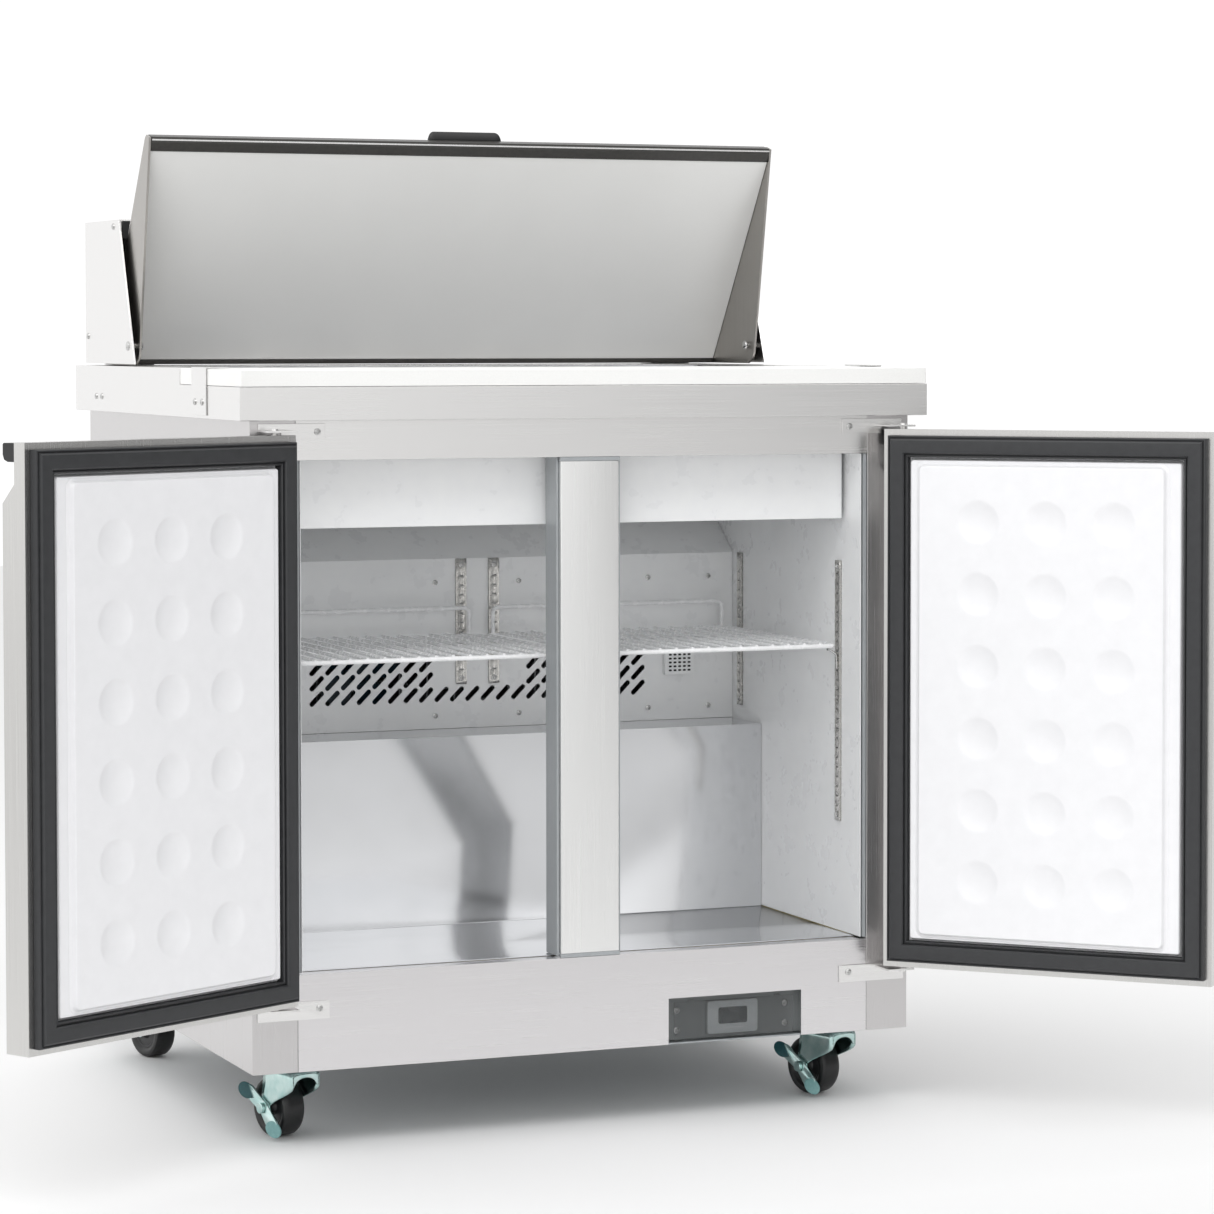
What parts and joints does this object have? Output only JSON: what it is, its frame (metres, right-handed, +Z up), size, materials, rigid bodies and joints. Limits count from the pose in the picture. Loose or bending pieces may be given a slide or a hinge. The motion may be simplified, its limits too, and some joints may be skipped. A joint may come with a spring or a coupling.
{
  "type": "sandwich prep table",
  "caption": "Refrigerated stainless steel prep table on casters with a full-width cutting board, a pan well under a hinged lid and hood, and hinged doors over a shelved cold cabinet.",
  "frame": {"origin": "on the floor under the centre of the worktop", "axes": "+X to the right as seen from the front, +Y to the back, +Z up"},
  "size_m": [1.5233, 1.1253, 1.2767],
  "materials": {
    "stainless": "satin brushed",
    "stainless_inner": "mirror-like",
    "galvanised": "dull",
    "foam": "cellular",
    "liner_white": "smooth",
    "board_white": "fine texture",
    "breaker_grey": "satin",
    "gasket": "satin",
    "handle_black": "satin",
    "trim_black": "satin",
    "lid_side": "satin",
    "shelf_coated": "gloss coated wire",
    "caster_zinc": "bright zinc",
    "wheel_black": "satin",
    "pedal_grey": "satin",
    "control_grey": "satin",
    "control_flap": "satin",
    "button": "satin",
    "unit_black": "satin",
    "fan_black": "satin",
    "coil_alu": "bare",
    "screw_steel": "polished"
  },
  "bodies": {
    "cabinet": {"side_panel_left": "stainless", "side_panel_right": "stainless", "top_rail": "stainless", "lower_panel": "stainless", "mullion": "stainless", "worktop": "stainless", "hinge_brackets": "stainless", "hood_side_left": "stainless", "hood_side_right": "stainless", "hood_cover": "stainless", "pan_divider_bars": "stainless", "board_clips": "stainless", "interior_floor": "stainless_inner", "pan_well": "stainless_inner", "back_panel": "galvanised", "base_pan": "galvanised", "pilasters": "galvanised", "cabinet_foam": "foam", "inner_liner": "liner_white", "evaporator_cover": "liner_white", "breaker_strips": "breaker_grey", "hood_gasket": "gasket", "shelf_left": "shelf_coated", "shelf_right": "shelf_coated", "controller_panel": "control_grey", "condensing_unit": "unit_black", "evaporator_coil": "coil_alu", "fasteners": "screw_steel"},
    "cutting_board": {"cutting_board": "board_white"},
    "door_left": {"door_left_pan": "stainless", "door_left_liner": "liner_white", "door_left_gasket": "gasket", "door_left_handle": "handle_black"},
    "door_right": {"door_right_pan": "stainless", "door_right_liner": "liner_white", "door_right_gasket": "gasket", "door_right_handle": "handle_black"},
    "lid": {"lid_skin": "stainless", "lid_panel": "stainless", "lid_side_left": "lid_side", "lid_side_right": "lid_side", "lid_edge_trims": "trim_black", "lid_handle": "handle_black"},
    "evaporator_fan": {"evaporator_fan": "fan_black"},
    "condenser_fan": {"condenser_fan": "fan_black"},
    "controller_cover": {"controller_cover": "control_flap"},
    "controller_button_1": {"controller_button_1": "button"},
    "caster_fork_1": {"caster_fork_1": "caster_zinc"},
    "caster_wheel_1": {"caster_wheel_1": "wheel_black"},
    "controller_button_2": {"controller_button_2": "button"},
    "caster_fork_2": {"caster_fork_2": "caster_zinc"},
    "caster_wheel_2": {"caster_wheel_2": "wheel_black"},
    "controller_button_3": {"controller_button_3": "button"},
    "caster_fork_3": {"caster_fork_3": "caster_zinc"},
    "caster_wheel_3": {"caster_wheel_3": "wheel_black"},
    "controller_button_4": {"controller_button_4": "button"},
    "caster_fork_4": {"caster_fork_4": "caster_zinc"},
    "caster_wheel_4": {"caster_wheel_4": "wheel_black"},
    "brake_pedal_1": {"brake_pedal_1": "pedal_grey"},
    "brake_pedal_2": {"brake_pedal_2": "pedal_grey"}
  },
  "joints": [
    {"name": "door_left_hinge", "type": "hinge", "parent": "cabinet", "child": "door_left", "pos_m": [-0.421, -0.412, 0.5335], "axis": [0, 0, 1], "range_deg": [-4, 151]},
    {"name": "door_right_hinge", "type": "hinge", "parent": "cabinet", "child": "door_right", "pos_m": [0.421, -0.412, 0.5335], "axis": [0, 0, -1], "range_deg": [-21, 134]},
    {"name": "lid_hinge", "type": "hinge", "parent": "cabinet", "child": "lid", "pos_m": [0, 0.138, 0.987], "axis": [1, 0, 0], "range_deg": [0, 78]},
    {"name": "board_slide", "type": "slide", "parent": "cabinet", "child": "cutting_board", "axis": [0, -1, 0], "range_m": [0, 0.12]},
    {"name": "evaporator_fan_spin", "type": "hinge", "parent": "cabinet", "child": "evaporator_fan", "pos_m": [-0.15, 0.1, 0.55], "axis": [0, 1, 0], "continuous": true},
    {"name": "condenser_fan_spin", "type": "hinge", "parent": "cabinet", "child": "condenser_fan", "pos_m": [-0.19, 0.3, 0.265], "axis": [0, 1, 0], "continuous": true},
    {"name": "controller_cover_flap", "type": "hinge", "parent": "cabinet", "child": "controller_cover", "pos_m": [0.1995, -0.37475, 0.151], "axis": [-1, 0, 0], "range_deg": [0, 90]},
    {"name": "controller_button_1_push", "type": "slide", "parent": "cabinet", "child": "controller_button_1", "axis": [0, 1, 0], "range_m": [0, 0.001], "stiffness_N_per_m": 400},
    {"name": "controller_button_2_push", "type": "slide", "parent": "cabinet", "child": "controller_button_2", "axis": [0, 1, 0], "range_m": [0, 0.001], "stiffness_N_per_m": 400},
    {"name": "controller_button_3_push", "type": "slide", "parent": "cabinet", "child": "controller_button_3", "axis": [0, 1, 0], "range_m": [0, 0.001], "stiffness_N_per_m": 400},
    {"name": "controller_button_4_push", "type": "slide", "parent": "cabinet", "child": "controller_button_4", "axis": [0, 1, 0], "range_m": [0, 0.001], "stiffness_N_per_m": 400},
    {"name": "caster_1_swivel", "type": "hinge", "parent": "cabinet", "child": "caster_fork_1", "pos_m": [-0.368, -0.3, 0.0886], "axis": [0, 0, 1], "continuous": true},
    {"name": "caster_1_roll", "type": "hinge", "parent": "caster_fork_1", "child": "caster_wheel_1", "pos_m": [-0.37677, -0.27131, 0.0375], "axis": [0.9563, 0.2924, 0], "continuous": true},
    {"name": "caster_2_swivel", "type": "hinge", "parent": "cabinet", "child": "caster_fork_2", "pos_m": [0.368, -0.3, 0.0886], "axis": [0, 0, 1], "continuous": true},
    {"name": "caster_2_roll", "type": "hinge", "parent": "caster_fork_2", "child": "caster_wheel_2", "pos_m": [0.35923, -0.27131, 0.0375], "axis": [0.9563, 0.2924, 0], "continuous": true},
    {"name": "caster_3_swivel", "type": "hinge", "parent": "cabinet", "child": "caster_fork_3", "pos_m": [-0.368, 0.3, 0.0886], "axis": [0, 0, 1], "continuous": true},
    {"name": "caster_3_roll", "type": "hinge", "parent": "caster_fork_3", "child": "caster_wheel_3", "pos_m": [-0.37677, 0.32869, 0.0375], "axis": [0.9563, 0.2924, 0], "continuous": true},
    {"name": "caster_4_swivel", "type": "hinge", "parent": "cabinet", "child": "caster_fork_4", "pos_m": [0.368, 0.3, 0.0886], "axis": [0, 0, 1], "continuous": true},
    {"name": "caster_4_roll", "type": "hinge", "parent": "caster_fork_4", "child": "caster_wheel_4", "pos_m": [0.35923, 0.32869, 0.0375], "axis": [0.9563, 0.2924, 0], "continuous": true},
    {"name": "brake_1_rock", "type": "hinge", "parent": "caster_fork_1", "child": "brake_pedal_1", "pos_m": [-0.37677, -0.27131, 0.0375], "axis": [-0.9563, -0.2924, 0], "range_deg": [0, 10]},
    {"name": "brake_2_rock", "type": "hinge", "parent": "caster_fork_2", "child": "brake_pedal_2", "pos_m": [0.35923, -0.27131, 0.0375], "axis": [-0.9563, -0.2924, 0], "range_deg": [0, 10]}
  ]
}
